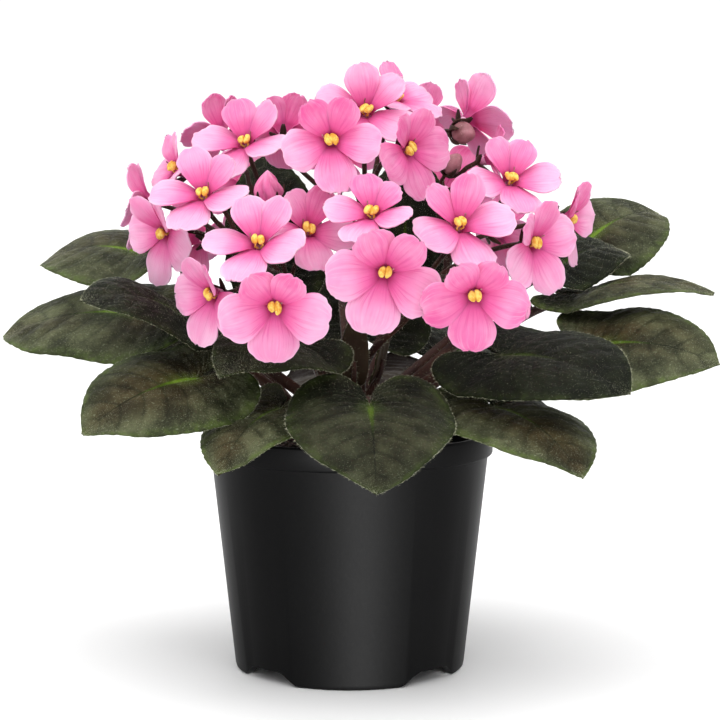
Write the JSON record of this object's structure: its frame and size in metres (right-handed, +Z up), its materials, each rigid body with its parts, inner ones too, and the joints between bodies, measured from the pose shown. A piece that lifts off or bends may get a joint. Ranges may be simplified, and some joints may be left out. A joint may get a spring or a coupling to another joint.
{
  "type": "potted african violet",
  "caption": "Flowering African violet with heart-shaped leaves in a rosette and a dome of pink flowers, growing in a footed round nursery pot.",
  "frame": {"origin": "on the ground at the pot's axis, which is also the middle of the whole plant's outline seen from above", "axes": "+Z up along the pot's axis, -Y towards the front of the plant, +X to the right seen from the front"},
  "size_m": [0.2631, 0.208, 0.2198],
  "materials": {
    "pot": "satin black moulded plastic",
    "soil": "moist dark potting soil",
    "crown": "fleshy stem with leaf scars",
    "leaf": "dark green quilted leaf with soft hairs, reddish below and on the stalk",
    "stalk": "reddish brown fleshy stalk with fine hairs",
    "petal": "soft pink petal, deeper at the throat, with darker veins",
    "anther": "powdery yellow"
  },
  "bodies": {
    "root": {"pot": "pot", "soil": "soil", "crown": "crown", "leaf_front": "leaf", "leaf_front_left": "leaf", "leaf_left_front": "leaf", "leaf_left": "leaf", "leaf_left_back": "leaf", "leaf_right_front": "leaf", "leaf_right": "leaf", "leaf_right_narrow": "leaf", "leaf_right_back": "leaf", "leaf_inner_front": "leaf", "leaf_inner_left": "leaf", "leaf_inner_right": "leaf", "leaf_inner_back": "leaf", "leaf_back_low": "leaf", "leaf_back": "leaf", "leaf_back_right": "leaf", "leaf_back_left": "leaf", "leaf_upright": "leaf", "leaf_upright_left": "leaf", "spray_left": "stalk", "bloom_01": "petal", "bloom_02": "petal", "bloom_03": "petal", "bloom_04": "petal", "bloom_05": "petal", "bloom_06": "petal", "spray_front_left": "stalk", "bloom_07": "petal", "bloom_08": "petal", "bloom_09": "petal", "bloom_10": "petal", "bloom_11": "petal", "spray_front_right": "stalk", "bloom_12": "petal", "bloom_13": "petal", "bloom_14": "petal", "bloom_15": "petal", "bloom_16": "petal", "spray_right": "stalk", "bloom_17": "petal", "bloom_18": "petal", "bloom_19": "petal", "bloom_20": "petal", "spray_top": "stalk", "bloom_21": "petal", "bloom_22": "petal", "bloom_23": "petal", "bloom_24": "petal", "bloom_25": "petal", "bloom_26": "petal", "bloom_27": "petal", "spray_back": "stalk", "bloom_28": "petal", "bloom_29": "petal", "bloom_30": "petal", "bloom_31": "petal", "bloom_32": "petal"}
  },
  "joints": []
}
